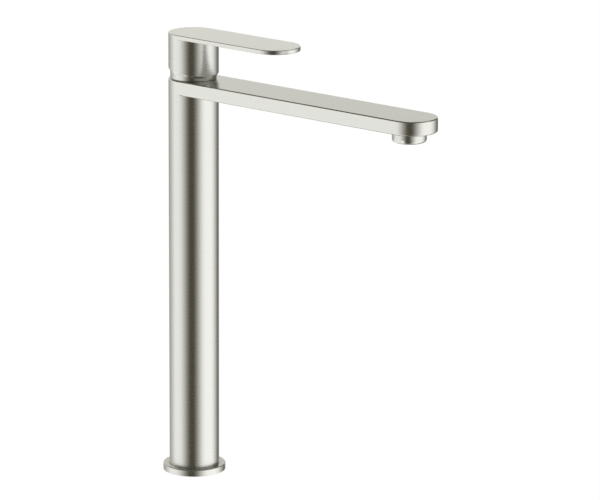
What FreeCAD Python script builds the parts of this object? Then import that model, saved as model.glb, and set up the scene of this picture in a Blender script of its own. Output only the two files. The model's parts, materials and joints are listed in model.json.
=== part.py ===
import FreeCAD, Part
import math
import os

# Tall single-lever basin mixer with a flat, stadium-shaped spout and a flat lever.
# Millimetres. +Z is up, the origin lies on the column's axis in the plane of the basin's deck,
# and both the spout and the lever point along +X. The tap is closed and set to mixed water.

# ---------------------------------------------------------------- driving dimensions
# Cartridge and the walls that wrap it. They add up to the column's diameter of 36.
cartridge_d = 25.0
water_gap = 1.55            # ring of mixed water round the cartridge
valve_wall = 1.35
braze_gap = 0.1             # between the valve body and the column or spout head round it
column_wall = 2.5           # beside the valve body
lower_wall = 3.0            # below the valve body, which leaves the ledge it stands on

# Heights above the deck
spout_top_z = 290.5
handle_h = 33.0             # from the spout's top to the lever's top
cover_h = 7.2               # height of the neck ring under the handle

# Base
flange_rim = 4.6            # the flange beyond the column; with it the flange is 45.2 across
flange_t = 4.7
flange_edge = 0.35
flange_gap = 0.15           # ring of air round the column's foot
ledge_t = 1.5               # the flange's inner ledge, which the column stands on
gasket_w = 2.6
gasket_t = 1.2
insert_h = 14.0
insert_gap = 0.05
stud_hole_r = 2.5           # tapped for a 6 mm stud
stud_rim = 0.95             # between a stud's hole and the insert's outside
stud_web = 0.8              # between a stud's hole and the hoses' way through the insert
passage_rim = 1.75

# Spout
spout_reach = 199.0         # column axis to the centre of the round tip
spout_t = 10.2
spout_roof = 1.8
spout_floor = 1.8
spout_side = 1.8
spout_top_edge = 0.6        # bevels of the spout's upper and lower edges
spout_low_edge = 0.35
window_half_y = 11.6        # half the width of the water's way from the column into the spout

# Aerator
aerator_setback = 2.0       # the outlet's axis, behind the centre of the round tip
aerator_d = 24.0
aerator_drop = 7.5
aerator_edge = 0.7
thread_step = 0.5           # the male thread is smaller than the collar by this, all round
socket_wall = 2.0
socket_ledge_t = 1.2
socket_ledge_w = 2.0
socket_flow_gap = 2.6       # above the socket's ring, where the water comes over
washer_t = 1.0
flat_across = 22.0
flat_h = 2.9
lip_t = 1.0
lip_w = 0.8
aerator_wall = 1.9
insert_wall = 1.0
rib_t = 0.5
rib_pitch = 2.8
rib_h = 3.0
jet_plate_t = 1.2
jet_r = 0.7
jet_count = 8
jet_circle_r = 5.5
screen_t = 0.6
screen_rim_h = 1.4
screen_hole_w = 1.1
screen_hole_pitch = 2.4

# Cartridge: lever pivot, ball end and the stack below it
pivot_rise = 4.0            # pivot above the spout's top
ball_arm = 12.0             # pivot to the centre of the ball
ball_r = 2.2
shank_r = 1.6
stem_w = 7.0
stem_top = 24.0             # above the spout's top
stem_chamfer = 0.5
pin_r = 1.25
disc_travel = 4.1           # closed to fully open
socket_gap = 0.15
socket_floor = 2.8
carrier_plate_t = 4.0
moving_disc_t = 5.0
fixed_disc_t = 5.0
base_spigot_h = 2.5
base_flange_h = 4.5
slide_gap = 0.1             # running clearance of what turns or slides in the cartridge
axial_gap = 0.2
housing_wall = 1.3
neck_step = 1.5             # the housing's neck is smaller than its barrel by this
neck_wall = 1.5
tongue_half_y = 5.9
tongue_half_x = 6.0
tongue_rise = 1.5           # above the ball's centre
rotor_rise = 2.5            # above the pivot
stem_way_back = 1.3         # room behind the stem, where it leans when lifted
nut_seat_depth = 1.5        # the nut's foot, below the spout's top
collar_h = 2.6
collar_gap = 0.25
seal_w = 1.4                # section of the sealing rings round the cartridge
seal_groove_h = 1.6
limit_ring_t = 1.1
limit_ring_w = 1.2
lug_half_deg = 10.0
turn_half_deg = 50.0

# Water ways
inlet_arc_in = 4.4
inlet_arc_out = 6.4
inlet_arc_from = 20.0
inlet_arc_to = 68.0
mix_port_r = 3.2
mix_pocket_r = 3.9
mix_pocket_depth = 3.0
seat_port_r = 2.1
seat_port_x = 3.4
seat_port_y = 5.0
port_seal_w = 1.2
port_seal_t = 1.0
outlet_half_w = 2.1
peg_r = 1.2
peg_h = 1.5
peg_y = 5.5
peg_gap = 0.05
feed_h = 12.0
inlet_hole_r = 4.46         # tapped for a 10 mm fine-thread hose tail
inlet_depth = 11.0
inlet_x = 2.0
inlet_y = 6.9

# Nut and neck ring
nut_gap = 0.05
nut_flange_gap = 0.2
nut_key_w = 4.0
nut_key_depth = 1.0
nut_key_count = 6
cover_slip = 0.15
cover_wall = 1.15
cover_lip_t = 0.8
cover_lip_gap = 0.4
cover_edge = 0.6

# Handle
lever_reach = 76.0          # column axis to the centre of the lever's round tip
lever_t = 3.1
lever_edge = 0.3
skirt_gap = 0.3             # round the neck ring
skirt_low = 4.45            # the skirt's lower face above the spout, on the axis
skirt_slope_deg = 7.75      # the skirt is cut off aslant, lower at the front
skirt_land = 0.12
skirt_chamfer_h = 1.9
skirt_lip_h = 1.2
skirt_relief = 0.3
skirt_cavity_top = 13.0     # above the spout's top
handle_wall = 2.5
handle_roof = 5.0
boss_r = 8.0
boss_low = 12.0
stem_slip = 0.05
set_screw_r = 2.45
set_screw_rise = 18.0
set_screw_slip = 0.05
hex_af = 2.5
hex_depth = 2.5
cap_r = 2.95
cap_slip = 0.05
cap_t = 3.0

# ---------------------------------------------------------------- derived sizes
V = FreeCAD.Vector
UP = V(0, 0, 1)

cartridge_r = cartridge_d / 2
cavity_r = cartridge_r + water_gap
valve_r = cavity_r + valve_wall
head_bore_r = valve_r + braze_gap
column_r = head_bore_r + column_wall
lower_bore_r = column_r - lower_wall
flange_r = column_r + flange_rim
insert_r = lower_bore_r - insert_gap
stud_x = insert_r - stud_rim - stud_hole_r
passage_half_x = stud_x - stud_hole_r - stud_web

spout_low_z = spout_top_z - spout_t
channel_low_z = spout_low_z + spout_floor
channel_top_z = spout_top_z - spout_roof

pivot_z = spout_top_z + pivot_rise
ball_z = pivot_z - ball_arm
carrier_top_z = ball_z - ball_r - socket_floor
disc_top_z = carrier_top_z - carrier_plate_t
disc_low_z = disc_top_z - moving_disc_t
fixed_low_z = disc_low_z - fixed_disc_t
housing_low_z = fixed_low_z - base_spigot_h
seat_z = housing_low_z - base_flange_h
feed_low_z = seat_z - feed_h
valve_low_z = feed_low_z - inlet_depth

chamber_r = cartridge_r - housing_wall
disc_r = chamber_r - disc_travel / 2 - 2 * slide_gap
closed_x = -disc_travel / 2
neck_r = cartridge_r - neck_step
neck_bore_r = neck_r - neck_wall
rotor_r = neck_bore_r - slide_gap
rotor_flange_r = chamber_r - axial_gap
tongue_top_z = ball_z + tongue_rise
guide_roof_z = tongue_top_z + 1.5 * axial_gap
rotor_flange_top_z = guide_roof_z + axial_gap
rotor_top_z = pivot_z + rotor_rise
housing_neck_z = pivot_z + 1.0
nut_seat_z = spout_top_z - nut_seat_depth
valve_top_z = spout_top_z + rotor_rise
cover_top_z = spout_top_z + cover_h
cover_r = valve_r + cover_slip + cover_wall
cover_bore_r = valve_r + cover_slip
nut_top_z = cover_top_z - cover_lip_t - cover_lip_gap
nut_flange_r = valve_r - nut_flange_gap

lip_bore_r = cover_r + skirt_gap
relief_r = lip_bore_r + skirt_relief
lip_wall = column_r - lip_bore_r
handle_top_z = spout_top_z + handle_h
plate_low_z = handle_top_z - lever_t
roof_low_z = handle_top_z - handle_roof
slope = math.tan(math.radians(skirt_slope_deg))

socket_top_z = channel_top_z - socket_flow_gap
socket_shoulder_z = socket_top_z - socket_ledge_t
aerator_top_z = socket_shoulder_z - washer_t
aerator_low_z = spout_low_z - aerator_drop
thread_r = aerator_d / 2 - thread_step
aerator_bore_r = thread_r - aerator_wall
aerator_lip_z = aerator_low_z + lip_t
aerator_reach = spout_reach - aerator_setback


# ---------------------------------------------------------------- basic forms
def rod(radius, low, top, x=0.0, y=0.0):
    """Upright cylinder between two heights."""
    return Part.makeCylinder(radius, top - low, V(x, y, low), UP)


def ring(outer, inner, low, top, x=0.0, y=0.0):
    """Upright tube between two heights."""
    return rod(outer, low, top, x, y).cut(rod(inner, low - 1, top + 1, x, y))


def block(x0, x1, half_y, low, top, y=0.0):
    """Box from x0 to x1, half_y to each side of y, between two heights."""
    return Part.makeBox(x1 - x0, 2 * half_y, top - low, V(x0, y - half_y, low))


def stadium(radius, reach, low, top):
    """Plate with two parallel sides and two round ends, at x = 0 and x = reach."""
    a, b = V(0, radius, low), V(reach, radius, low)
    c, d = V(reach, -radius, low), V(0, -radius, low)
    edges = [
        Part.makeLine(a, b),
        Part.Arc(b, V(reach + radius, 0, low), c).toShape(),
        Part.makeLine(c, d),
        Part.Arc(d, V(-radius, 0, low), a).toShape(),
    ]
    return Part.Face(Part.Wire(edges)).extrude(V(0, 0, top - low))


def arc_slot(inner, outer, start_deg, end_deg, low, top):
    """Kidney-shaped prism between two radii and two angles."""
    def at(radius, degrees):
        a = math.radians(degrees)
        return V(radius * math.cos(a), radius * math.sin(a), low)
    middle = (start_deg + end_deg) / 2
    edges = [
        Part.Arc(at(inner, start_deg), at(inner, middle), at(inner, end_deg)).toShape(),
        Part.makeLine(at(inner, end_deg), at(outer, end_deg)),
        Part.Arc(at(outer, end_deg), at(outer, middle), at(outer, start_deg)).toShape(),
        Part.makeLine(at(outer, start_deg), at(inner, start_deg)),
    ]
    return Part.Face(Part.Wire(edges)).extrude(V(0, 0, top - low))


def edges_at(solid, height, least_radius=0.0, tolerance=0.01):
    """Edges that lie wholly at one height, leaving out arcs smaller than least_radius."""
    found = []
    for edge in solid.Edges:
        box = edge.BoundBox
        if abs(box.ZMin - height) > tolerance or abs(box.ZMax - height) > tolerance:
            continue
        if hasattr(edge.Curve, "Radius") and edge.Curve.Radius < least_radius:
            continue
        found.append(edge)
    return found


def above_slope(height_on_axis, top):
    """Space above a plane that falls towards +X, up to a height."""
    side = 3 * column_r
    points = [
        V(-side, -side, height_on_axis + side * slope),
        V(side, -side, height_on_axis - side * slope),
        V(side, -side, top),
        V(-side, -side, top),
    ]
    face = Part.Face(Part.makePolygon(points + [points[0]]))
    return face.extrude(V(0, 2 * side, 0))


def export(name, solid):
    """Write one node's solids."""
    solid.exportStep("parts/" + name + ".step")
    print(name, len(solid.Solids), "solid(s)", round(solid.Volume / 1000, 3), "cm3")


# ---------------------------------------------------------------- base and column
def make_base_flange():
    flange = ring(flange_r, column_r + flange_gap, 0, flange_t)
    rims = edges_at(flange, flange_t, flange_r - 0.1)
    flange = flange.makeChamfer(flange_edge, rims)
    ledge = ring(column_r + flange_gap, lower_bore_r + flange_gap, 0, ledge_t)
    groove_in = (column_r + flange_r - gasket_w) / 2
    groove = ring(groove_in + gasket_w, groove_in, -1, gasket_t)
    return flange.fuse(ledge).removeSplitter().cut(groove)


def make_base_gasket():
    groove_in = (column_r + flange_r - gasket_w) / 2
    return ring(groove_in + gasket_w - insert_gap, groove_in + insert_gap, 0, gasket_t)


def make_column_tube():
    tube = rod(column_r, ledge_t, spout_low_z)
    lower_bore = rod(lower_bore_r, 0, valve_low_z)
    upper_bore = rod(head_bore_r, valve_low_z, spout_top_z)
    return tube.cut(lower_bore).cut(upper_bore)


def make_base_insert():
    plug = rod(insert_r, 0, insert_h)
    passage = rod(insert_r - passage_rim, -1, insert_h + 1)
    passage = passage.common(block(-passage_half_x, passage_half_x, column_r, -1, insert_h + 1))
    studs = [rod(stud_hole_r, -1, insert_h + 1, side * stud_x) for side in (-1, 1)]
    return plug.cut(passage).cut(Part.makeCompound(studs))


# ---------------------------------------------------------------- spout and aerator
def make_spout_body():
    spout = stadium(column_r, spout_reach, spout_low_z, spout_top_z)
    spout = spout.makeChamfer(spout_top_edge, edges_at(spout, spout_top_z))
    # The underside's edge is bevelled from the column forward, where it is free.
    low_edges = []
    for edge in edges_at(spout, spout_low_z, column_r - 0.1):
        if edge.BoundBox.XMax > column_r + 1:
            low_edges.append(edge)
    spout = spout.makeChamfer(spout_low_edge, low_edges)
    inner_r = column_r - spout_side
    channel = stadium(inner_r, spout_reach, channel_low_z, channel_top_z)
    channel = channel.cut(rod(column_r, channel_low_z - 1, channel_top_z + 1))
    window = block(0, column_r + 1, window_half_y, channel_low_z, channel_top_z)
    spout = spout.cut(channel).cut(window)
    spout = spout.cut(rod(head_bore_r, spout_low_z - 1, spout_top_z + 1))
    socket = rod(thread_r + socket_wall, spout_low_z + spout_floor / 2, socket_top_z, aerator_reach)
    spout = spout.fuse(socket)
    mouth = rod(thread_r + insert_gap, spout_low_z - 1, socket_shoulder_z, aerator_reach)
    throat = rod(thread_r - socket_ledge_w, spout_low_z, socket_top_z + 1, aerator_reach)
    return spout.cut(mouth).cut(throat)


def make_aerator_housing():
    axis = aerator_reach
    collar = rod(aerator_d / 2, aerator_low_z, spout_low_z, axis)
    collar = collar.makeChamfer(aerator_edge, edges_at(collar, aerator_low_z))
    flats_top = aerator_low_z + flat_h
    reach = aerator_d
    for side in (-1, 1):
        flat = block(axis - reach, axis + reach, reach / 2, aerator_low_z - 1, flats_top,
                     side * (flat_across / 2 + reach / 2))
        collar = collar.cut(flat)
    male = rod(thread_r, spout_low_z - 1, aerator_top_z, axis)
    bore = rod(aerator_bore_r, aerator_lip_z, aerator_top_z + 1, axis)
    mouth = rod(aerator_bore_r - lip_w, aerator_low_z - 1, aerator_top_z, axis)
    return collar.fuse(male).removeSplitter().cut(bore).cut(mouth)


def make_aerator_washer():
    inner = thread_r - socket_ledge_w
    return ring(thread_r - insert_gap, inner, aerator_top_z, socket_shoulder_z, aerator_reach)


def insert_top_z():
    """Top of the plastic insert, below the strainer and its rim."""
    return aerator_top_z - screen_rim_h


def make_aerator_insert():
    axis = aerator_reach
    outer = aerator_bore_r - insert_gap
    inner = outer - insert_wall
    top = insert_top_z()
    shell = ring(outer, inner, aerator_lip_z, top, axis)
    ribs = []
    count = int(inner // rib_pitch)
    for step in range(-count, count + 1):
        offset = step * rib_pitch
        along_x = block(axis - inner, axis + inner, rib_t / 2, aerator_lip_z,
                        aerator_lip_z + rib_h, offset)
        along_y = block(axis + offset - rib_t / 2, axis + offset + rib_t / 2, inner,
                        aerator_lip_z, aerator_lip_z + rib_h)
        ribs += [along_x, along_y]
    grid = ribs[0].multiFuse(ribs[1:])
    grid = grid.common(rod(inner + insert_wall / 2, aerator_lip_z, top, axis))
    plate = rod(inner + insert_wall / 2, top - jet_plate_t, top, axis)
    jets = []
    for step in range(jet_count):
        turn = 2 * math.pi * step / jet_count
        across, aside = jet_circle_r * math.cos(turn), jet_circle_r * math.sin(turn)
        jets.append(rod(jet_r, top - jet_plate_t - 1, top + 1, axis + across, aside))
    plate = plate.cut(Part.makeCompound(jets))
    return shell.multiFuse([grid, plate]).removeSplitter()


def make_aerator_screen():
    axis = aerator_reach
    low = insert_top_z()
    outer = aerator_bore_r - insert_gap
    disc = rod(outer, low, low + screen_t, axis)
    rim = ring(outer, outer - insert_wall, low, aerator_top_z, axis)
    holes = []
    for circle in range(1, 4):
        for step in range(6 * circle):
            hole = block(circle * screen_hole_pitch - screen_hole_w / 2,
                         circle * screen_hole_pitch + screen_hole_w / 2,
                         screen_hole_w / 2, low - 1, low + screen_t + 1)
            hole.rotate(V(0, 0, 0), UP, 60.0 * step / circle)
            hole.translate(V(axis, 0, 0))
            holes.append(hole)
    return disc.cut(Part.makeCompound(holes)).fuse(rim).removeSplitter()


# ---------------------------------------------------------------- valve body and cartridge
def make_valve_body():
    body = rod(valve_r, valve_low_z, valve_top_z)
    body = body.cut(rod(cavity_r, seat_z, valve_top_z + 1))
    window_low = channel_low_z + axial_gap
    window_top = nut_seat_z - collar_h - axial_gap
    body = body.cut(block(0, column_r, window_half_y - axial_gap, window_low, window_top))
    for side in (-1, 1):
        body = body.cut(rod(inlet_hole_r, valve_low_z - 1, feed_low_z, inlet_x, side * inlet_y))
        feed = rod(seat_port_r, feed_low_z - 1, seat_z + 1, seat_port_x, side * seat_port_y)
        body = body.cut(feed)
    return body


def inlet_slot(side, low, top):
    """The hot or cold kidney-shaped port, on the side of +Y or -Y."""
    if side > 0:
        return arc_slot(inlet_arc_in, inlet_arc_out, inlet_arc_from, inlet_arc_to, low, top)
    return arc_slot(inlet_arc_in, inlet_arc_out, -inlet_arc_to, -inlet_arc_from, low, top)


def make_cartridge_base():
    base = rod(cartridge_r, seat_z, housing_low_z)
    base = base.fuse(rod(chamber_r - slide_gap, housing_low_z, fixed_low_z))
    middle = (seat_z + housing_low_z) / 2
    base = base.cut(rod(mix_port_r, middle, fixed_low_z + 1))
    base = base.cut(block(-column_r, outlet_half_w / 2, outlet_half_w, seat_z - 1, middle + 1))
    for side in (-1, 1):
        base = base.cut(inlet_slot(side, middle, fixed_low_z + 1))
        port = rod(seat_port_r, seat_z - 1, middle + 1, seat_port_x, side * seat_port_y)
        groove = rod(seat_port_r + port_seal_w, seat_z - 1, seat_z + port_seal_t,
                     seat_port_x, side * seat_port_y)
        base = base.cut(port).cut(groove)
    return base


def make_cartridge_base_seals():
    seals = []
    for side in (-1, 1):
        seals.append(ring(seat_port_r + port_seal_w - insert_gap, seat_port_r, seat_z,
                          seat_z + port_seal_t, seat_port_x, side * seat_port_y))
    return Part.makeCompound(seals)


def make_fixed_ceramic_disc():
    disc = rod(chamber_r - slide_gap, fixed_low_z, disc_low_z)
    disc = disc.cut(rod(mix_port_r, fixed_low_z - 1, disc_low_z + 1))
    for side in (-1, 1):
        disc = disc.cut(inlet_slot(side, fixed_low_z - 1, disc_low_z + 1))
    return disc


def make_moving_ceramic_disc():
    disc = rod(disc_r, disc_low_z, disc_top_z, closed_x)
    disc = disc.cut(rod(mix_pocket_r, disc_low_z - 1, disc_low_z + mix_pocket_depth, closed_x))
    for side in (-1, 1):
        hole_r = peg_r + peg_gap
        disc = disc.cut(rod(hole_r, disc_top_z - peg_h, disc_top_z + 1, closed_x, side * peg_y))
    return disc


def make_disc_carrier():
    plate = rod(disc_r, disc_top_z, carrier_top_z, closed_x)
    tongue = block(closed_x - tongue_half_x, closed_x + tongue_half_x, tongue_half_y,
                   carrier_top_z - 1, tongue_top_z)
    carrier = plate.fuse(tongue).removeSplitter()
    for side in (-1, 1):
        peg = rod(peg_r, disc_top_z - peg_h + peg_gap, disc_top_z + 1, closed_x, side * peg_y)
        carrier = carrier.fuse(peg)
    socket = rod(ball_r + socket_gap, ball_z - ball_r - socket_floor / 2, tongue_top_z + 1)
    return carrier.cut(socket)


def make_cartridge_housing():
    barrel = rod(cartridge_r, housing_low_z, nut_seat_z)
    collar = rod(cavity_r - collar_gap, nut_seat_z - collar_h, nut_seat_z)
    neck = rod(neck_r, nut_seat_z - 1, housing_neck_z)
    housing = barrel.multiFuse([collar, neck]).removeSplitter()
    chamber_top_z = rotor_flange_top_z + slide_gap
    housing = housing.cut(rod(chamber_r, housing_low_z - 1, chamber_top_z))
    housing = housing.cut(rod(neck_bore_r, chamber_top_z - 1, housing_neck_z + 1))
    groove_low = nut_seat_z - (collar_h + seal_groove_h) / 2
    groove = ring(cavity_r, cavity_r - seal_w - insert_gap, groove_low, groove_low + seal_groove_h)
    return housing.cut(groove)


def make_housing_seal():
    low = nut_seat_z - (collar_h + seal_groove_h) / 2 + insert_gap
    top = low + seal_groove_h - 2 * insert_gap
    return ring(cavity_r - insert_gap, cavity_r - seal_w, low, top)


def make_cartridge_rotor():
    rotor = rod(rotor_r, rotor_flange_top_z - 1, rotor_top_z)
    flange = rod(rotor_flange_r, carrier_top_z + axial_gap, rotor_flange_top_z)
    rotor = rotor.fuse(flange).removeSplitter()
    lug = arc_slot(rotor_r - 1, neck_r - limit_ring_w / 2, -lug_half_deg, lug_half_deg,
                   housing_neck_z + slide_gap, housing_neck_z + limit_ring_t)
    rotor = rotor.fuse(lug)
    guide = block(-cartridge_r, cartridge_r, tongue_half_y + slide_gap,
                  carrier_top_z, guide_roof_z)
    stem_way = block(-stem_w / 2 - stem_way_back, ball_r + disc_travel + axial_gap,
                     stem_w / 2 + 1.5 * slide_gap, guide_roof_z - 1, rotor_top_z + 1)
    pin_hole = Part.makeCylinder(pin_r + insert_gap / 2, 2 * rotor_r, V(0, -rotor_r, pivot_z),
                                 V(0, 1, 0))
    return rotor.cut(guide).cut(stem_way).cut(pin_hole)


def make_pivot_pin():
    half = rotor_r - 2 * slide_gap
    return Part.makeCylinder(pin_r, 2 * half, V(0, -half, pivot_z), V(0, 1, 0))


def make_turn_limit_ring():
    open_half = turn_half_deg + lug_half_deg + 1
    return arc_slot(rotor_r + 2 * slide_gap, neck_r, open_half, 360 - open_half,
                    housing_neck_z, housing_neck_z + limit_ring_t)


def make_cartridge_nut():
    thread = ring(cavity_r - nut_gap, neck_r + slide_gap, nut_seat_z, nut_top_z)
    flange = ring(nut_flange_r, cavity_r - 1, valve_top_z, nut_top_z)
    nut = thread.fuse(flange).removeSplitter()
    groove_low = (valve_top_z + nut_top_z - seal_groove_h) / 2
    groove = ring(valve_r, cover_bore_r - seal_w - insert_gap, groove_low,
                  groove_low + seal_groove_h)
    nut = nut.cut(groove)
    for step in range(nut_key_count):
        key = block(neck_r - 1, neck_r + slide_gap + nut_key_depth, nut_key_w / 2,
                    nut_top_z - nut_key_depth, nut_top_z + 1)
        key.rotate(V(0, 0, 0), UP, 360.0 * step / nut_key_count)
        nut = nut.cut(key)
    return nut


def make_cover_ring_seal():
    low = (valve_top_z + nut_top_z - seal_groove_h) / 2 + insert_gap
    top = low + seal_groove_h - 2 * insert_gap
    return ring(cover_bore_r - insert_gap, cover_bore_r - seal_w, low, top)


def make_cover_ring():
    cover = rod(cover_r, spout_top_z, cover_top_z)
    cover = cover.makeChamfer(cover_edge, edges_at(cover, cover_top_z))
    cover = cover.cut(rod(cover_bore_r, spout_top_z - 1, cover_top_z - cover_lip_t))
    return cover.cut(rod(rotor_r + 4 * slide_gap, spout_top_z, cover_top_z + 1))


# ---------------------------------------------------------------- lever
def make_lever_stem():
    half = stem_w / 2
    shaft = block(-half, half, half, pivot_z - half, spout_top_z + stem_top)
    uprights = []
    for edge in shaft.Edges:
        if edge.BoundBox.ZLength > stem_w:
            uprights.append(edge)
    shaft = shaft.makeChamfer(stem_chamfer, uprights)
    shank = rod(shank_r, ball_z, pivot_z)
    ball = Part.makeSphere(ball_r, V(0, 0, ball_z))
    stem = shaft.multiFuse([shank, ball])
    hole = Part.makeCylinder(pin_r + insert_gap, 2 * stem_w, V(0, -stem_w, pivot_z), V(0, 1, 0))
    return stem.cut(hole)


def make_handle():
    low = spout_top_z + skirt_low
    barrel = rod(column_r, spout_top_z, plate_low_z + lever_t / 2)
    barrel = barrel.common(above_slope(low, handle_top_z + 1))
    barrel = chamfer_rim(barrel)
    plate = stadium(column_r, lever_reach, plate_low_z, handle_top_z)
    plate = plate.makeChamfer(lever_edge, edges_at(plate, handle_top_z))
    low_edges = []
    for edge in edges_at(plate, plate_low_z):
        if edge.BoundBox.XMax > column_r + 1:
            low_edges.append(edge)
    plate = plate.makeChamfer(lever_edge, low_edges)
    handle = barrel.fuse(plate).removeSplitter()
    # The hollow: a close lip round the neck ring, a wider relief above it, then the upper room.
    step_z = spout_top_z + skirt_cavity_top
    lip = rod(lip_bore_r, spout_top_z - 1, step_z)
    relief = rod(relief_r, spout_top_z - 1, step_z)
    relief = relief.common(above_slope(low + skirt_lip_h, handle_top_z))
    room = rod(column_r - handle_wall, step_z - 1, roof_low_z)
    boss = rod(boss_r, spout_top_z + boss_low, roof_low_z + handle_roof / 2)
    handle = handle.cut(lip).cut(relief).cut(room).fuse(boss).removeSplitter()
    slot = stem_w / 2 + stem_slip
    handle = handle.cut(block(-slot, slot, slot, spout_top_z, spout_top_z + stem_top + axial_gap))
    screw_z = spout_top_z + set_screw_rise
    back = V(-1, 0, 0)
    tapped_r = set_screw_r + set_screw_slip
    tapped = Part.makeCylinder(tapped_r, column_r, V(0, 0, screw_z), back)
    access = Part.makeCylinder(cap_r + cap_slip, column_r, V(-boss_r - 1, 0, screw_z), back)
    return handle.cut(tapped).cut(access)


def sheared_ellipse(radius, height):
    """Section of an upright cylinder of that radius by the skirt's slope, at a height on the axis."""
    centre = V(0, 0, height)
    long_end = centre + V(radius, 0, -radius * slope)
    return Part.Wire([Part.Ellipse(long_end, centre + V(0, radius, 0), centre).toShape()])


def chamfer_rim(barrel):
    """Bevel the slanting rim with a cone that widens upwards and is sheared along the slope."""
    width = min(lip_wall - skirt_land, 0.9 * lip_wall)
    low = spout_top_z + skirt_low
    foot = sheared_ellipse(column_r - width, low)
    head = sheared_ellipse(column_r - width + width * handle_h / skirt_chamfer_h, low + handle_h)
    return barrel.common(Part.makeLoft([foot, head], True, True))


def make_handle_set_screw():
    screw_z = spout_top_z + set_screw_rise
    length = boss_r - stem_w / 2 + insert_gap
    screw = Part.makeCylinder(set_screw_r, length, V(-stem_w / 2, 0, screw_z), V(-1, 0, 0))
    corners = []
    for step in range(7):
        turn = math.pi * step / 3
        radius = hex_af / math.sqrt(3)
        corners.append(V(-stem_w / 2 - length - 1, radius * math.cos(turn),
                         screw_z + radius * math.sin(turn)))
    socket = Part.Face(Part.makePolygon(corners)).extrude(V(hex_depth + 1, 0, 0))
    return screw.cut(socket)


def make_screw_cap():
    screw_z = spout_top_z + set_screw_rise
    cap = Part.makeCylinder(cap_r, 2 * cap_t, V(-column_r + cap_t, 0, screw_z), V(-1, 0, 0))
    return cap.common(rod(column_r, spout_top_z, handle_top_z))


# ---------------------------------------------------------------- the assembly
makers = {
    "base_flange": make_base_flange,
    "base_gasket": make_base_gasket,
    "base_insert": make_base_insert,
    "column_tube": make_column_tube,
    "spout_body": make_spout_body,
    "aerator_housing": make_aerator_housing,
    "aerator_washer": make_aerator_washer,
    "aerator_insert": make_aerator_insert,
    "aerator_screen": make_aerator_screen,
    "valve_body": make_valve_body,
    "cartridge_base": make_cartridge_base,
    "cartridge_base_seals": make_cartridge_base_seals,
    "fixed_ceramic_disc": make_fixed_ceramic_disc,
    "moving_ceramic_disc": make_moving_ceramic_disc,
    "disc_carrier": make_disc_carrier,
    "cartridge_housing": make_cartridge_housing,
    "housing_seal": make_housing_seal,
    "cartridge_rotor": make_cartridge_rotor,
    "pivot_pin": make_pivot_pin,
    "turn_limit_ring": make_turn_limit_ring,
    "cartridge_nut": make_cartridge_nut,
    "cover_ring_seal": make_cover_ring_seal,
    "cover_ring": make_cover_ring,
    "lever_stem": make_lever_stem,
    "handle": make_handle,
    "handle_set_screw": make_handle_set_screw,
    "screw_cap": make_screw_cap,
}

os.makedirs("parts", exist_ok=True)
for node, make in makers.items():
    export(node, make())
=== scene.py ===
import json
import math

import bmesh
import bpy
import numpy as np
from mathutils import Matrix, Vector


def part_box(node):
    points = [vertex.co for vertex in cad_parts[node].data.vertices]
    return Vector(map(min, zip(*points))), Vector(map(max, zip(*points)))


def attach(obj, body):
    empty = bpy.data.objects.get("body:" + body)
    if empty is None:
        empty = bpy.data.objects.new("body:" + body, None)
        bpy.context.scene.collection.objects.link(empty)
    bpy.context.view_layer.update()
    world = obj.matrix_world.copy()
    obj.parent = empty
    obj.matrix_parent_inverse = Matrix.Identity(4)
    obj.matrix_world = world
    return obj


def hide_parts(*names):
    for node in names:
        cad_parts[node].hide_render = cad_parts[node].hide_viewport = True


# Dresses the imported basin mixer: turned and flat shells with soft edges over the plain solids, a brushed
# nickel finish and the finishes of the inner pieces, then a pale floor, a soft light tent and the camera.
# Metres. +Z is up, the column's axis is the Z axis, the spout and the lever point along +X.

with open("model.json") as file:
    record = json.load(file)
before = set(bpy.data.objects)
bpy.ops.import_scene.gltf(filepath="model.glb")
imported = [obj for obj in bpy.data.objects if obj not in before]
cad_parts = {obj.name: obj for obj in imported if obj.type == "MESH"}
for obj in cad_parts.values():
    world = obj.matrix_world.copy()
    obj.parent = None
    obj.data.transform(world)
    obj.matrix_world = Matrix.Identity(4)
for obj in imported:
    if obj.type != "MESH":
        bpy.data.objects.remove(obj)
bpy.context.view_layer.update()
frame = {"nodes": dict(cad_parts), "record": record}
nodes = frame["nodes"]


# ---------------------------------------------------------------- sizes read from the frame
def low(node):
    """Lowest corner of a node."""
    return np.array(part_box(node)[0])


def high(node):
    """Highest corner of a node."""
    return np.array(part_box(node)[1])


column_r = high("column_tube")[0]
spout_low_z = low("spout_body")[2]
spout_top_z = high("spout_body")[2]
spout_reach = high("spout_body")[0] - column_r
handle_top_z = high("handle")[2]
lever_reach = high("handle")[0] - column_r
handle_low_z = low("handle")[2]
flange_r = high("base_flange")[0]
flange_top_z = high("base_flange")[2]
aerator_x = (low("aerator_housing")[0] + high("aerator_housing")[0]) / 2
aerator_r = high("aerator_housing")[1]
aerator_low_z = low("aerator_housing")[2]
aerator_top_z = high("aerator_housing")[2]
cover_r = high("cover_ring")[0]
cover_top_z = high("cover_ring")[2]
cap_z = (low("screw_cap")[2] + high("screw_cap")[2]) / 2
cap_r = high("screw_cap")[1]
rotor_r = high("cartridge_rotor")[0]

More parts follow.
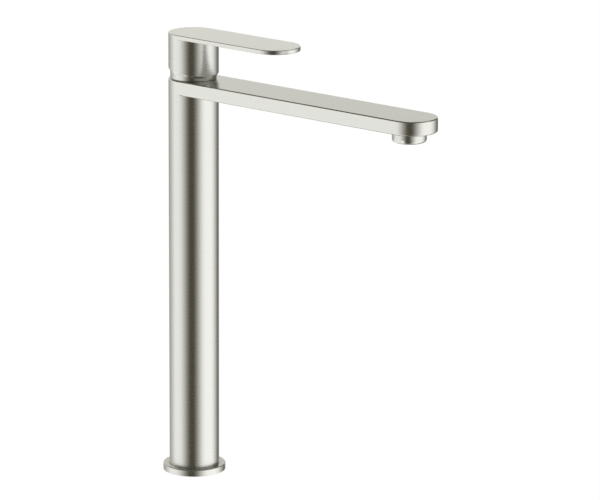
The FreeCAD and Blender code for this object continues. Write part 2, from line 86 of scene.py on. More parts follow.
# Sizes that a node's box doesn't show
mm = 0.001
flange_gap = 0.15 * mm
flange_ledge_t = 1.5 * mm
foot_bore_r = column_r - 3.0 * mm
gasket_gap = 0.05 * mm
mixer_bore_r = column_r - 2.5 * mm
lever_t = 3.1 * mm
skirt_slope = math.tan(math.radians(7.75))
skirt_chamfer_h = 1.5 * mm
skirt_land = 0.12 * mm
skirt_gap = 0.3 * mm
skirt_relief = 0.3 * mm
skirt_lip_h = 1.2 * mm
skirt_cavity_z = spout_top_z + 13.0 * mm
handle_wall = 2.5 * mm
handle_roof = 5.0 * mm
boss_r = 8.0 * mm
boss_low_z = spout_top_z + 12.0 * mm
stem_half = 3.55 * mm
stem_top_z = spout_top_z + 24.2 * mm
cap_gap = 0.05 * mm
cap_seat_x = handle_wall - column_r - 0.1 * mm
cover_wall = 1.15 * mm
cover_lip_t = 0.8 * mm
cover_mouth_r = rotor_r + 0.4 * mm
aerator_thread_r = aerator_r - 0.5 * mm
aerator_bore_r = aerator_thread_r - 1.9 * mm
aerator_mouth_r = aerator_bore_r - 0.8 * mm
aerator_lip_t = 1.0 * mm
aerator_flat_y = 11.2 * mm
aerator_flat_h = 2.9 * mm
socket_roof = 1.8 * mm

# Soft edges, as the real tap has them after brushing, and how they are drawn
spout_top_edge = 0.8 * mm
spout_low_edge = 1.2 * mm
lever_edge = 0.4 * mm
skirt_edge = 0.45 * mm
flange_edge = 0.45 * mm
cover_edge = 0.5 * mm
contact_edge = 0.5 * mm
aerator_edge = 2.0 * mm
fine_edge = 0.12 * mm
edge_steps = 6
edge_margin = 0.06 * mm
least_round = 0.06 * mm
merge_distance = 0.002 * mm


# ---------------------------------------------------------------- surfaces
def rounded(corners, radii):
    """Closed outline of a polygon with round corners. The centre of a corner's arc lies on its bisector,
    radius / cos(half the turn) from the corner, and the arc turns evenly from one side's normal to the
    next one's. A point just before and after each arc keeps the flats beside it flat."""
    corners = np.array(corners, float)
    points = []
    for i, radius in enumerate(radii):
        corner = corners[i]
        before = corner - corners[i - 1]
        after = corners[(i + 1) % len(corners)] - corner
        before = before / np.hypot(*before)
        after = after / np.hypot(*after)
        if radius == 0:
            points.append(corner[None])
            continue
        turn = math.atan2(before[0] * after[1] - before[1] * after[0], before @ after)
        setback = radius * math.tan(abs(turn) / 2)
        inward = np.array([-before[1], before[0]]) * np.sign(turn)
        centre = corner - before * setback + inward * radius
        angles = turn * np.linspace(0, 1, edge_steps + 1)
        cos, sin = np.cos(angles), np.sin(angles)
        spoke = -inward
        arc = np.stack([spoke[0] * cos - spoke[1] * sin, spoke[0] * sin + spoke[1] * cos], 1)
        start = corner - before * (setback + edge_margin)
        end = corner + after * (setback + edge_margin)
        points.append(np.vstack([start, centre + radius * arc, end]))
    return np.vstack(points)


def grid_faces(rows, columns, wrap_rows, wrap_columns, first):
    """Quads between neighbours of a rows by columns grid of points, whose numbers start at first."""
    r = np.arange(rows if wrap_rows else rows - 1)[:, None]
    c = np.arange(columns if wrap_columns else columns - 1)[None, :]
    r2 = (r + 1) % rows
    c2 = (c + 1) % columns
    quads = np.stack([r * columns + c, r * columns + c2, r2 * columns + c2, r2 * columns + c], -1)
    return quads.reshape(-1, 4) + first


def shell(name, grids, sharp_deg=32.0, lying_cosine=0.7):
    """A closed piece from grids of points. Each grid is (points, wrap_rows, wrap_columns). Points that fall
    together, at seams, poles and shared edges, become one, and all faces are turned outwards. Faces that
    lie flat take the piece's second material, the others its first."""
    points = []
    faces = []
    first = 0
    for grid, wrap_rows, wrap_columns in grids:
        points.append(grid.reshape(-1, 3))
        faces.append(grid_faces(grid.shape[0], grid.shape[1], wrap_rows, wrap_columns, first))
        first += grid.shape[0] * grid.shape[1]
    mesh = bpy.data.meshes.new(name)
    mesh.from_pydata(np.vstack(points).tolist(), [], np.vstack(faces).tolist())
    cleaned = bmesh.new()
    cleaned.from_mesh(mesh)
    bmesh.ops.remove_doubles(cleaned, verts=cleaned.verts, dist=merge_distance)
    bmesh.ops.dissolve_degenerate(cleaned, edges=cleaned.edges, dist=merge_distance / 2)
    bmesh.ops.recalc_face_normals(cleaned, faces=cleaned.faces)
    cleaned.to_mesh(mesh)
    cleaned.free()
    mesh.shade_smooth()
    mesh.set_sharp_from_angle(angle=math.radians(sharp_deg))
    facing = np.zeros(len(mesh.polygons) * 3, np.float32)
    mesh.polygons.foreach_get("normal", facing)
    flat_lying = np.abs(facing.reshape(-1, 3)[:, 2]) > lying_cosine
    mesh.polygons.foreach_set("material_index", flat_lying.astype(np.int32))
    piece = bpy.data.objects.new(name, mesh)
    bpy.context.scene.collection.objects.link(piece)
    return piece


def turned(name, outline, axis_x=0.0, segments=144, flat_y=None, flat_top_z=None):
    """Solid of revolution: the closed outline of (radius, height) points carried round an upright axis,
    point = (axis_x + radius cos a, radius sin a, height). Below flat_top_z, y is held within flat_y,
    which cuts two wrench flats."""
    angles = np.radians(np.arange(segments) * 360.0 / segments)[:, None]
    radius = outline[None, :, 0]
    height = outline[None, :, 1]
    x = axis_x + radius * np.cos(angles)
    y = radius * np.sin(angles)
    z = height + 0 * angles
    if flat_y is not None:
        y = np.where(z < flat_top_z, np.clip(y, -flat_y, flat_y), y)
    return shell(name, [(np.stack([x, y, z], -1), True, True)])


def stadium_rim(reach, side_angles, tip_steps=48, back_steps=72):
    """Stations round a stadium of the column's radius whose two centres are 0 and reach along x.
    Returns each station's centre x, outward normal and polar angle about the column's axis. The back
    turns evenly through half a circle, the sides are met by rays from the axis at side_angles,
    x = column_r / tan(angle), and the tip turns evenly through the other half circle."""
    sides = np.radians(side_angles)
    side_x = np.sort(column_r / np.tan(sides))
    side_x = side_x[(side_x > merge_distance) & (side_x < reach - merge_distance)]
    tip = np.radians(np.linspace(-90, 90, tip_steps + 1))
    back = np.radians(np.linspace(90, 270, back_steps + 1))
    centre = np.concatenate([np.full(tip.size, reach), side_x[::-1], np.zeros(back.size), side_x])
    turn = np.concatenate([tip, np.full(side_x.size, math.pi / 2), back, np.full(side_x.size, -math.pi / 2)])
    normal = np.stack([np.cos(turn), np.sin(turn)], 1)
    polar = np.arctan2(normal[:, 1] * column_r, centre + normal[:, 0] * column_r)
    return centre, normal, polar


def room_to_column(centre, normal):
    """How far a station of the rim lies outside the column: none at the back, column_r less
    sqrt(column_r squared less x squared) along the start of the sides, and plenty in front of it."""
    x = centre + normal[:, 0] * column_r
    beside = column_r - np.sqrt(np.maximum(column_r ** 2 - x ** 2, 0))
    return np.where(x <= merge_distance, 0.0, np.where(x < column_r, beside, column_r))


def rim_row(centre, normal, inset, z):
    """Points of the stadium's rim moved in along their normals by inset, at height z."""
    x = centre + normal[:, 0] * (column_r - inset)
    y = normal[:, 1] * (column_r - inset)
    return np.stack([x, y, z + 0 * x], 1)


def round_over(radius, face_z, direction):
    """(inset, height) of a quarter round from a flat face at face_z down or up to the side: inset =
    radius (1 - sin a), height = face_z + direction radius (1 - cos a)."""
    angles = np.radians(np.linspace(0, 90, edge_steps + 1))
    inset = radius * (1 - np.sin(angles))
    height = face_z + direction * radius * (1 - np.cos(angles))
    inset = np.concatenate([[radius + edge_margin], inset, [0]])
    height = np.concatenate([[face_z], height, [face_z + direction * (radius + edge_margin)]])
    return inset, height


def clipped_round(centre, normal, radius, face_z, direction, room):
    """Rows of a quarter round whose radius shrinks with the room beside the column, least(radius, 3 room),
    so that it fades out where the rim runs into the column. One row just past it keeps the side flat."""
    local = np.minimum(radius, 3 * room)
    local = np.where(local < least_round, 0, local)
    rows = [rim_row(centre, normal, np.maximum(local, np.minimum(local + edge_margin, room)), face_z)]
    for angle in np.radians(np.linspace(0, 90, edge_steps + 1)):
        row = rim_row(centre, normal, local * (1 - math.sin(angle)), face_z)
        row[:, 2] += direction * local * (1 - math.cos(angle))
        rows.append(row)
    rows.append(rim_row(centre, normal, 0.0, face_z + direction * (local + edge_margin)))
    return rows


def circle_row(polar, radius, z, axis_x=0.0):
    """Points round an upright axis at the given polar angles."""
    x = axis_x + radius * np.cos(polar)
    return np.stack([x, radius * np.sin(polar), z + 0 * x], 1)


def split_face(edge, z, hole_r, far_hole_r, line_steps=24):
    """A stadium face at height z in two halves, either side of the line across it half-way to the aerator.
    Each half is a fan of lines from its hole, round the column's or the aerator's axis, out to the rim and
    to that line."""
    split_x = aerator_x / 2
    half_width = np.abs(edge[np.argmin(np.abs(edge[:, 0] - split_x)), 1])
    across = np.linspace(-1, 1, line_steps + 1)[1:-1] * half_width
    line = np.stack([np.full(across.size, split_x), across, np.full(across.size, z)], 1)
    near = edge[edge[:, 0] <= split_x + merge_distance]
    near = near[np.argsort(np.mod(np.arctan2(near[:, 1], near[:, 0]), 2 * math.pi))]
    far = edge[edge[:, 0] >= split_x - merge_distance]
    far = far[np.argsort(np.arctan2(far[:, 1], far[:, 0] - aerator_x))]
    near = np.vstack([near, line])
    far = np.vstack([far, line[::-1]])
    near_polar = np.arctan2(near[:, 1], near[:, 0])
    far_polar = np.arctan2(far[:, 1], far[:, 0] - aerator_x)
    near_half = np.stack([near, circle_row(near_polar, hole_r, z)])
    far_half = np.stack([far, circle_row(far_polar, far_hole_r, z, aerator_x)])
    return near_half, far_half


def make_spout(first_x=0.5 * mm, near_steps=24, far_steps=40):
    """Flat stadium spout: rim with quarter rounds, a top pierced by the mixer's bore, and an underside
    pierced by the bore and the aerator's socket. Its sides' stations are closer beside the column, where
    the lower round fades out."""
    beside_column = np.linspace(first_x, column_r, near_steps)
    beyond_column = np.linspace(column_r, spout_reach, far_steps)
    side_x = np.concatenate([beside_column, beyond_column, [aerator_x / 2]])
    centre, normal, _ = stadium_rim(spout_reach, np.degrees(np.arctan2(column_r, side_x)))
    room = room_to_column(centre, normal)
    socket_r = aerator_thread_r + gasket_gap
    socket_roof_z = spout_top_z - socket_roof
    top_inset, top_height = round_over(spout_top_edge, spout_top_z, -1)
    rows = [rim_row(centre, normal, i, z) for i, z in zip(top_inset, top_height)]
    rows += clipped_round(centre, normal, spout_low_edge, spout_low_z, 1, room)[::-1]
    wall = np.stack(rows)
    top_near, top_far = split_face(wall[0], spout_top_z, mixer_bore_r, 0.0)
    low_near, low_far = split_face(wall[-1], spout_low_z, mixer_bore_r, socket_r)
    bore_wall = np.stack([low_near[-1], top_near[-1]])
    mouth = low_far[-1]
    rise = np.array([0, 0, socket_roof_z - spout_low_z])
    socket = np.stack([mouth, mouth + rise, 0 * mouth + [aerator_x, 0, socket_roof_z]])
    bands = [wall, top_near, top_far, low_near, low_far, bore_wall, socket]
    return shell("spout", [(band, False, True) for band in bands])


def square_radius(polar, half):
    """Distance from the middle of a square to its side, half / max(|cos|, |sin|)."""
    return half / np.maximum(np.abs(np.cos(polar)), np.abs(np.sin(polar)))


def skirt_row(polar, radius, rise):
    """Ring parallel to the slanting rim: height = the skirt's lower face on the axis + rise - slope x."""
    x = radius * np.cos(polar)
    return np.stack([x, radius * np.sin(polar), skirt_low_z + rise - skirt_slope * x], 1)


skirt_low_z = handle_low_z + skirt_slope * (cover_r + skirt_gap + skirt_land)


def make_handle(side_step=2.5, patch_half=5.0 * mm, patch_half_angle=17.6, patch_steps=10, ring_steps=5):
    """Lever plate and barrel as one skin. The plate's top runs from the stadium's mid-line to its rim, the
    rim is rounded, its underside runs in to the barrel, and the barrel runs down to a slanting bevelled
    rim, in under it and up the hollow to the stem's square seat. At the back is the screw's round access,
    in a patch that reaches patch_half up and down and patch_half_angle each way."""
    side_angles = np.arange(15.0, 90.0, side_step)
    centre, normal, polar = stadium_rim(lever_reach, side_angles)
    room = room_to_column(centre, normal)
    plate_low_z = handle_top_z - lever_t
    inset, height = round_over(lever_edge, handle_top_z, -1)
    rows = [rim_row(centre, normal, column_r, handle_top_z)]
    rows += [rim_row(centre, normal, i, z) for i, z in zip(inset, height)]
    rows += clipped_round(centre, normal, lever_edge, plate_low_z, 1, room)[::-1]
    rows.append(circle_row(polar, column_r, plate_low_z))
    patch_top = len(rows)
    patch_foot = patch_top + patch_steps
    patch_rises = np.linspace(patch_half, -patch_half, patch_steps + 1)
    rows += [circle_row(polar, column_r, cap_z + rise) for rise in patch_rises]
    lip_r = cover_r + skirt_gap
    # Bevel and lower face in (radius, rise) along the slope, with soft corners
    rim = rounded([(column_r, 3 * skirt_chamfer_h), (column_r, skirt_chamfer_h), (lip_r + skirt_land, 0),
                   (lip_r, 0), (lip_r, skirt_lip_h), (lip_r + skirt_relief, skirt_lip_h),
                   (lip_r + skirt_relief, 3 * skirt_chamfer_h)],
                  [0, skirt_edge, fine_edge / 2, 0, 0, 0, 0])
    rows += [skirt_row(polar, radius, rise) for radius, rise in rim[1:]]
    rows.append(circle_row(polar, lip_r + skirt_relief, skirt_cavity_z))
    rows.append(circle_row(polar, column_r - handle_wall, skirt_cavity_z))
    rows.append(circle_row(polar, column_r - handle_wall, handle_top_z - handle_roof))
    rows.append(circle_row(polar, boss_r, handle_top_z - handle_roof))
    rows.append(circle_row(polar, boss_r, boss_low_z))
    rows.append(circle_row(polar, square_radius(polar, stem_half), boss_low_z))
    rows.append(circle_row(polar, square_radius(polar, stem_half), stem_top_z))
    rows.append(circle_row(polar, 0 * polar, stem_top_z))
    skin = np.stack(rows)
    # Cut the patch for the screw's access out of the back, and fill it with rings round the hole
    behind = np.flatnonzero(np.abs(np.abs(np.degrees(polar)) - 180) <= patch_half_angle)
    first = behind.min()
    last = behind.max()
    level = skin[patch_top:patch_foot + 1]
    upper = level[0, first:last + 1]
    lower = level[-1, first:last + 1]
    left = level[:, first]
    right = level[:, last]
    loop = np.vstack([upper[:-1], right[:-1], lower[::-1][:-1], left[::-1][:-1]])
    hole_r = cap_r + cap_gap
    around = np.arctan2(loop[:, 2] - cap_z, loop[:, 1])
    hole = np.stack([np.cos(around) * hole_r, np.sin(around) * hole_r], 1)
    rings = []
    for share in np.linspace(0, 1, ring_steps + 1):
        y = loop[:, 1] * (1 - share) + hole[:, 0] * share
        z = loop[:, 2] * (1 - share) + (cap_z + hole[:, 1]) * share
        rings.append(np.stack([-np.sqrt(column_r ** 2 - y ** 2), y, z], 1))
    foot = rings[-1].copy()
    foot[:, 0] = cap_seat_x
    pole = foot.copy()
    pole[:, 1] = 0
    pole[:, 2] = cap_z
    rings += [foot, pole]
    grids = [(skin[:patch_top + 1], False, True), (skin[patch_foot:], False, True),
             (level[:, :first + 1], False, False), (level[:, last:], False, False),
             (np.stack([level[:, -1], level[:, 0]], 1), False, False),
             (np.stack(rings), False, True)]
    return shell("lever_and_barrel", grids)


def make_column():
    """Plain tube with a fine edge round the outside of its foot."""
    foot_z = low("column_tube")[2]
    head_z = high("column_tube")[2]
    outline = rounded([(foot_bore_r, foot_z), (column_r, foot_z), (column_r, head_z), (foot_bore_r, head_z)],
                      [0, fine_edge, 0, 0])
    return turned("column", outline)


def make_flange():
    """Deck flange with its inner ledge, the gasket's groove and a soft upper rim."""
    gasket_in = low_radius("base_gasket")
    gasket_out = high("base_gasket")[0]
    groove_z = high("base_gasket")[2]
    bore_r = column_r + flange_gap
    outline = rounded([(foot_bore_r + flange_gap, 0), (gasket_in - gasket_gap, 0),
                       (gasket_in - gasket_gap, groove_z), (gasket_out + gasket_gap, groove_z),
                       (gasket_out + gasket_gap, 0), (flange_r, 0), (flange_r, flange_top_z),
                       (bore_r, flange_top_z), (bore_r, flange_ledge_t),
                       (foot_bore_r + flange_gap, flange_ledge_t)],
                      [0, 0, 0, 0, 0, fine_edge, flange_edge, contact_edge, 0, 0])
    return turned("flange", outline)


def low_radius(node):
    """Least distance of a node's vertices from the column's axis."""
    co = np.zeros(len(nodes[node].data.vertices) * 3, np.float32)
    nodes[node].data.vertices.foreach_get("co", co)
    co = co.reshape(-1, 3)
    return float(np.hypot(co[:, 0], co[:, 1]).min())


def make_neck_ring():
    """Ring that covers the cartridge's nut, with a lip over it and a soft upper edge."""
    bore_r = cover_r - cover_wall
    outline = rounded([(bore_r, spout_top_z), (cover_r, spout_top_z), (cover_r, cover_top_z),
                       (cover_mouth_r, cover_top_z), (cover_mouth_r, cover_top_z - cover_lip_t),
                       (bore_r, cover_top_z - cover_lip_t)],
                      [0, contact_edge, cover_edge, 0, 0, 0])
    return turned("neck_ring", outline)


def make_aerator_collar():
    """Collar with a softly rounded mouth and two wrench flats, and the plain male end above it."""
    flats_top = aerator_low_z + aerator_flat_h
    step = merge_distance / 2
    outline = rounded([(aerator_mouth_r, aerator_low_z), (aerator_r, aerator_low_z),
                       (aerator_r, flats_top - step), (aerator_r, flats_top), (aerator_r, spout_low_z),
                       (aerator_thread_r, spout_low_z), (aerator_thread_r, aerator_top_z),
                       (aerator_bore_r, aerator_top_z),
                       (aerator_bore_r, aerator_low_z + aerator_lip_t),
                       (aerator_mouth_r, aerator_low_z + aerator_lip_t)],
                      [fine_edge, aerator_edge, 0, 0, 0, 0, 0, 0, 0, 0])
    return turned("aerator_collar", outline, aerator_x, flat_y=aerator_flat_y, flat_top_z=flats_top)


# ---------------------------------------------------------------- finishes
def node(tree, kind, **settings):
    """A shader node with some of its settings."""
    made = tree.nodes.new(kind)
    for key, value in settings.items():
        setattr(made, key, value)
    return made


def new_material(name, base, metallic, roughness):
    """A material with one Principled shader, its constants on its own sockets."""
    material = bpy.data.materials.new(name)
    material.use_nodes = True
    shader = material.node_tree.nodes["Principled BSDF"]
    shader.inputs["Base Color"].default_value = (*base, 1)
    shader.inputs["Metallic"].default_value = metallic
    shader.inputs["Roughness"].default_value = roughness
    return material, material.node_tree, shader


def streaks(tree, coordinates, scale, detail=3.0):
    """Fine streaks: noise on coordinates stretched by scale, so it is long where the scale is small."""
    links = tree.links
    mapping = node(tree, "ShaderNodeMapping")
    mapping.inputs["Scale"].default_value = scale
    noise = node(tree, "ShaderNodeTexNoise")
    noise.inputs["Scale"].default_value = 1.0
    noise.inputs["Detail"].default_value = detail
    noise.inputs["Roughness"].default_value = 0.6
    links.new(coordinates, mapping.inputs["Vector"])
    links.new(mapping.outputs["Vector"], noise.inputs["Vector"])
    return noise.outputs["Fac"]


def ranged(tree, value, out_low, out_high):
    """Value of noise, 0.3 to 0.7, spread between out_low and out_high."""
    spread = node(tree, "ShaderNodeMapRange")
    spread.inputs["From Min"].default_value = 0.3
    spread.inputs["From Max"].default_value = 0.7
    spread.inputs["To Min"].default_value = out_low
    spread.inputs["To Max"].default_value = out_high
    tree.links.new(value, spread.inputs["Value"])
    return spread.outputs["Result"]


def tinted(tree, factor, dark, pale):
    """Colour between dark and pale by factor."""
    mix = node(tree, "ShaderNodeMix", data_type="RGBA")
    mix.inputs[6].default_value = (*dark, 1)
    mix.inputs[7].default_value = (*pale, 1)
    tree.links.new(factor, mix.inputs[0])
    return mix.outputs[2]


def brushed_nickel(name, roughness, anisotropy, brushed_across, grain):
    """Brushed nickel. Light spreads along brushed_across, at right angles to the brushing. Grain is how
    fine the streaks are along x, y and z."""
    material, tree, shader = new_material(name, nickel, 1.0, roughness)
    links = tree.links
    shader.inputs["Anisotropic"].default_value = anisotropy
    across = node(tree, "ShaderNodeCombineXYZ")
    for socket, value in zip(across.inputs, brushed_across):
        socket.default_value = value
    links.new(across.outputs[0], shader.inputs["Tangent"])
    place = node(tree, "ShaderNodeTexCoord").outputs["Object"]
    streak = streaks(tree, place, grain)
    gloss = ranged(tree, streak, roughness - gloss_swing, roughness + gloss_swing)
    links.new(gloss, shader.inputs["Roughness"])
    deep = tuple((1 - tone_swing) * c for c in nickel)
    light = tuple((1 + tone_swing) * c for c in nickel)
    links.new(tinted(tree, ranged(tree, streak, 0, 1), deep, light), shader.inputs["Base Color"])
    bump = node(tree, "ShaderNodeBump")
    bump.inputs["Strength"].default_value = grain_relief
    bump.inputs["Distance"].default_value = grain_depth
    links.new(streak, bump.inputs["Height"])
    links.new(bump.outputs["Normal"], shader.inputs["Normal"])
    return material


def moulded(name, base, roughness, specular=0.5):
    """Moulded plastic, rubber or ceramic: an even body colour with a faint cloudiness and a fine skin."""
    material, tree, shader = new_material(name, base, 0.0, roughness)
    links = tree.links
    shader.inputs["Specular IOR Level"].default_value = specular
    place = node(tree, "ShaderNodeTexCoord").outputs["Object"]
    cloud = streaks(tree, place, cloud_grain)
    skin = streaks(tree, place, skin_grain)
    dark = tuple(0.93 * c for c in base)
    pale = tuple(min(1.0, 1.05 * c) for c in base)
    links.new(tinted(tree, ranged(tree, cloud, 0, 1), dark, pale), shader.inputs["Base Color"])
    links.new(ranged(tree, skin, roughness - 0.05, roughness + 0.05), shader.inputs["Roughness"])
    bump = node(tree, "ShaderNodeBump")
    bump.inputs["Strength"].default_value = 0.1
    bump.inputs["Distance"].default_value = 0.03 * mm
    links.new(skin, bump.inputs["Height"])
    links.new(bump.outputs["Normal"], shader.inputs["Normal"])
    return material


def machined(name, base, roughness):
    """Bare turned metal: fine level tool marks in its tone and gloss."""
    material, tree, shader = new_material(name, base, 1.0, roughness)
    links = tree.links
    place = node(tree, "ShaderNodeTexCoord").outputs["Object"]
    marks = streaks(tree, place, turned_grain)
    dark = tuple(0.88 * c for c in base)
    links.new(tinted(tree, ranged(tree, marks, 0, 1), dark, base), shader.inputs["Base Color"])
    links.new(ranged(tree, marks, roughness - 0.06, roughness + 0.06), shader.inputs["Roughness"])
    return material


nickel = (0.75, 0.755, 0.725)
tone_swing = 0.025
gloss_swing = 0.010
grain_relief = 0.006
grain_depth = 0.05 * mm
side_grain = (35, 35, 3200)
top_grain = (35, 3200, 35)
turned_grain = (120, 120, 2600)
cloud_grain = (180, 180, 180)
skin_grain = (2500, 2500, 2500)
along_y = (0, 1, 0)
upright = (0, 0, 1)

lever_top_nickel = brushed_nickel("lever_top_nickel", 0.21, 0.3, along_y, top_grain)
top_nickel = brushed_nickel("top_nickel", 0.25, 0.3, along_y, top_grain)
finishes = {
    "brushed_nickel": brushed_nickel("brushed_nickel", 0.27, 0.6, upright, side_grain),
    "brass": machined("brass", (0.78, 0.63, 0.34), 0.32),
    "steel": machined("steel", (0.62, 0.62, 0.63), 0.28),
    "ceramic": moulded("ceramic", (0.90, 0.89, 0.86), 0.25),
    "cartridge_plastic": moulded("cartridge_plastic", (0.86, 0.86, 0.84), 0.45),
    "rotor_plastic": moulded("rotor_plastic", (0.20, 0.20, 0.21), 0.42),
    "aerator_plastic": moulded("aerator_plastic", (0.88, 0.89, 0.90), 0.40),
    "rubber": moulded("rubber", (0.05, 0.05, 0.05), 0.65, 0.35),
}

# ---------------------------------------------------------------- dressing the frame
new_pieces = [
    (make_column(), "root", "column_tube"),
    (make_flange(), "root", "base_flange"),
    (make_spout(), "root", "spout_body"),
    (make_neck_ring(), "root", "cover_ring"),
    (make_aerator_collar(), "root", "aerator_housing"),
    (make_handle(), "lever", "handle"),
]
for piece, body, replaced in new_pieces:
    piece.data.materials.append(finishes["brushed_nickel"])
    piece.data.materials.append(lever_top_nickel if body == "lever" else top_nickel)
    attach(piece, body)
    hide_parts(replaced)

replaced_nodes = {replaced for piece, body, replaced in new_pieces}
for part in frame["record"]["subparts"]:
    if part["node"] not in replaced_nodes:
        solid = nodes[part["node"]]
        solid.data.materials.clear()
        solid.data.materials.append(finishes[part["material_slot"]])

# ---------------------------------------------------------------- camera
view_turn = math.radians(40.0478)
view_rise = math.radians(14.129)
view_roll = math.radians(0.2414)
view_distance = 3.069716
view_shift_right = -0.0763482
view_shift_up = -0.0132122
view_lens = 255.65
aim = np.array([0, 0, 0.150])

level_back = np.array([math.sin(view_turn), -math.cos(view_turn), 0])
back = level_back * math.cos(view_rise) + np.array([0, 0, math.sin(view_rise)])
level_right = np.array([math.cos(view_turn), math.sin(view_turn), 0])
level_up = np.cross(back, level_right)
right = level_right * math.cos(view_roll) + level_up * math.sin(view_roll)
up = level_up * math.cos(view_roll) - level_right * math.sin(view_roll)
stand = aim + back * view_distance - right * view_shift_right - up * view_shift_up

camera = bpy.data.objects.new("camera", bpy.data.cameras.new("camera"))
camera.data.lens = view_lens
camera.data.sensor_width = 36.0
camera.data.clip_start = 0.1
camera.data.clip_end = 50.0
camera_axes = Matrix(np.stack([right, up, back], 1).tolist())
camera.matrix_world = Matrix.Translation(Vector(stand)) @ camera_axes.to_4x4()
bpy.context.scene.collection.objects.link(camera)
bpy.context.scene.camera = camera

# ---------------------------------------------------------------- floor, tent and world
# The tent is a large sphere round the set that only the lighting sees. Each panel spans azimuths and
# elevations in degrees, azimuth 0 being towards the camera's place and 90 to its right. A span is
# (from, edge, to, edge), where an edge is the width over which the light fades in or out.
tent_facing = math.degrees(math.atan2(stand[1], stand[0]))
tent_room = np.array([0.070, 0.062, 0.040])
white_light = np.array([1.0, 1.0, 1.0])
warm_light = np.array([1.0, 1.0, 0.965])
tent_panels = {
    "left_softbox": ((-122, 60, -45, 60), (-34, 16, 6, 16), 1.00 * white_light),
    "left_low_softbox": ((-114, 46, -45, 60), (-72, 16, -34, 16), 1.00 * white_light),
    "right_softbox": ((25, 60, 115, 68), (-72, 16, 6, 16), 1.17 * white_light),
    "rear_card": ((152, 40, 232, 40), (-34, 16, 6, 16), 0.34 * white_light),
    "left_rear_low_card": ((-165, 30, -105, 30), (-46, 8, -28, 10), 0.85 * white_light),
    "right_high_card": ((80, 30, 140, 30), (44, 10, 64, 10), 0.90 * white_light),
    "rear_wall": ((150, 40, 265, 50), (2, 12, 21, 24), 0.95 * warm_light),
    "right_fill": ((10, 40, 95, 40), (6, 16, 30, 30), 0.15 * warm_light),
    "left_fill": ((-110, 40, -30, 40), (6, 16, 18, 14), 0.22 * warm_light),
    "top_card": ((-180, 0, 180, 0), (78, 12, 90, 0), 0.60 * white_light),
    "low_card": ((-180, 0, 180, 0), (-90, 0, -80, 12), 0.50 * white_light),
}


def fade(value, middle, edge):
    """Smoothstep from 0 to 1 over the edge's width about its middle; a plain step where the edge is 0."""
    t = np.clip((value - middle) / max(edge, 1e-6) + 0.5, 0, 1)
    return t * t * (3 - 2 * t)


def span(value, first, first_edge, last, last_edge):
    """1 between first and last, 0 outside them, faded over their edges. Where last has no edge, it is the
    end of the circle and lies within the span."""
    end = last if last_edge > 0 else last + 1
    return fade(value, first, first_edge) * (1 - fade(value, end, last_edge))


def tent_glow(azimuth, elevation):
    """Light of the tent in a direction: the dim room plus each panel's light times its two spans. An
    azimuth is counted from half a turn before the middle of the panel."""
    glow = np.zeros(azimuth.shape + (3,)) + tent_room
    for sideways, upwards, light in tent_panels.values():
        middle = (sideways[0] + sideways[2]) / 2
        turned_to = np.mod(azimuth - middle + 180, 360) - 180 + middle
        glow += (span(turned_to, *sideways) * span(elevation, *upwards))[..., None] * light
    return glow


def make_tent(radius=8.0, step=2.0):
    """Sphere of points at even azimuths and elevations, facing inwards, with the glow kept at its points."""
    azimuth = np.arange(0, 360, step)
    elevation = np.linspace(-90, 90, int(180 / step) + 1)
    a, e = np.meshgrid(azimuth, elevation)
    turn = np.radians(a + tent_facing)
    rise = np.radians(e)
    points = radius * np.stack([np.cos(turn) * np.cos(rise), np.sin(turn) * np.cos(rise), np.sin(rise)], -1)
    faces = grid_faces(elevation.size, azimuth.size, False, True, 0)[:, ::-1]
    mesh = bpy.data.meshes.new("light_tent")
    mesh.from_pydata(points.reshape(-1, 3).tolist(), [], faces.tolist())
    glow = mesh.attributes.new("glow", "FLOAT_COLOR", "POINT")
    colour = np.concatenate([tent_glow(a, e).reshape(-1, 3), np.ones((a.size, 1))], 1)
    glow.data.foreach_set("color", colour.astype(np.float32).ravel())
    tent = bpy.data.objects.new("light_tent", mesh)
    bpy.context.scene.collection.objects.link(tent)
    tent.visible_camera = False
    tent.visible_shadow = False
    material = bpy.data.materials.new("tent_light")
    material.use_nodes = True
    tree = material.node_tree
    tree.nodes.clear()
    read = node(tree, "ShaderNodeAttribute", attribute_name="glow")
    shine = node(tree, "ShaderNodeEmission")
    out = node(tree, "ShaderNodeOutputMaterial")
    tree.links.new(read.outputs["Color"], shine.inputs["Color"])
    tree.links.new(shine.outputs["Emission"], out.inputs["Surface"])
    material.cycles.emission_sampling = "NONE"
    mesh.materials.append(material)
    return tent


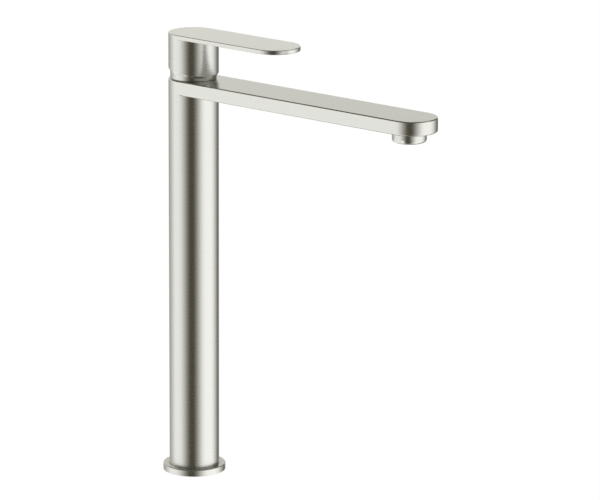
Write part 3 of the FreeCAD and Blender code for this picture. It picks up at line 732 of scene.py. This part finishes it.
def make_floor(radius=4.0, tone=0.86, white_share=0.9, white=1.10):
    """Pale round floor. The camera sees white_share of it as plain white and the rest lit, with the
    object's shadow."""
    turn = np.radians(np.arange(0, 360, 5.0))
    rim = np.stack([radius * np.cos(turn), radius * np.sin(turn), 0 * turn], 1)
    mesh = bpy.data.meshes.new("floor")
    mesh.from_pydata(rim.tolist(), [], [list(range(turn.size))])
    floor = bpy.data.objects.new("floor", mesh)
    bpy.context.scene.collection.objects.link(floor)
    floor.visible_glossy = False
    material = bpy.data.materials.new("pale_floor")
    material.use_nodes = True
    tree = material.node_tree
    tree.nodes.clear()
    path = node(tree, "ShaderNodeLightPath")
    matt = node(tree, "ShaderNodeBsdfDiffuse")
    matt.inputs["Color"].default_value = (tone, tone, tone, 1)
    plain = node(tree, "ShaderNodeEmission")
    share = node(tree, "ShaderNodeMath", operation="MULTIPLY")
    share.inputs[1].default_value = white_share
    plain.inputs["Strength"].default_value = white
    mix = node(tree, "ShaderNodeMixShader")
    out = node(tree, "ShaderNodeOutputMaterial")
    links = tree.links
    links.new(path.outputs["Is Camera Ray"], share.inputs[0])
    links.new(share.outputs[0], mix.inputs[0])
    links.new(matt.outputs[0], mix.inputs[1])
    links.new(plain.outputs[0], mix.inputs[2])
    # Seen from below the floor is clear, so that the underside can be looked at
    clear = node(tree, "ShaderNodeBsdfTransparent")
    side = node(tree, "ShaderNodeNewGeometry")
    choose = node(tree, "ShaderNodeMixShader")
    links.new(side.outputs["Backfacing"], choose.inputs[0])
    links.new(mix.outputs[0], choose.inputs[1])
    links.new(clear.outputs[0], choose.inputs[2])
    links.new(choose.outputs[0], out.inputs["Surface"])
    mesh.materials.append(material)
    return floor


def make_world():
    """White where the camera or a reflection sees it past the tent, and a little less as light."""
    world = bpy.data.worlds.new("studio")
    world.use_nodes = True
    tree = world.node_tree
    shine = tree.nodes["Background"]
    path = node(tree, "ShaderNodeLightPath")
    seen = node(tree, "ShaderNodeMath", operation="MAXIMUM")
    through = node(tree, "ShaderNodeMath", operation="MAXIMUM")
    level = node(tree, "ShaderNodeMapRange")
    level.inputs["To Min"].default_value = 0.7
    level.inputs["To Max"].default_value = 1.0
    links = tree.links
    links.new(path.outputs["Is Camera Ray"], seen.inputs[0])
    links.new(path.outputs["Is Glossy Ray"], seen.inputs[1])
    links.new(seen.outputs[0], through.inputs[0])
    links.new(path.outputs["Is Transmission Ray"], through.inputs[1])
    links.new(through.outputs[0], level.inputs["Value"])
    links.new(level.outputs["Result"], shine.inputs["Strength"])
    shine.inputs["Color"].default_value = (1, 1, 1, 1)
    bpy.context.scene.world = world


make_floor()
make_tent()
make_world()
bpy.context.scene.view_settings.view_transform = "Standard"
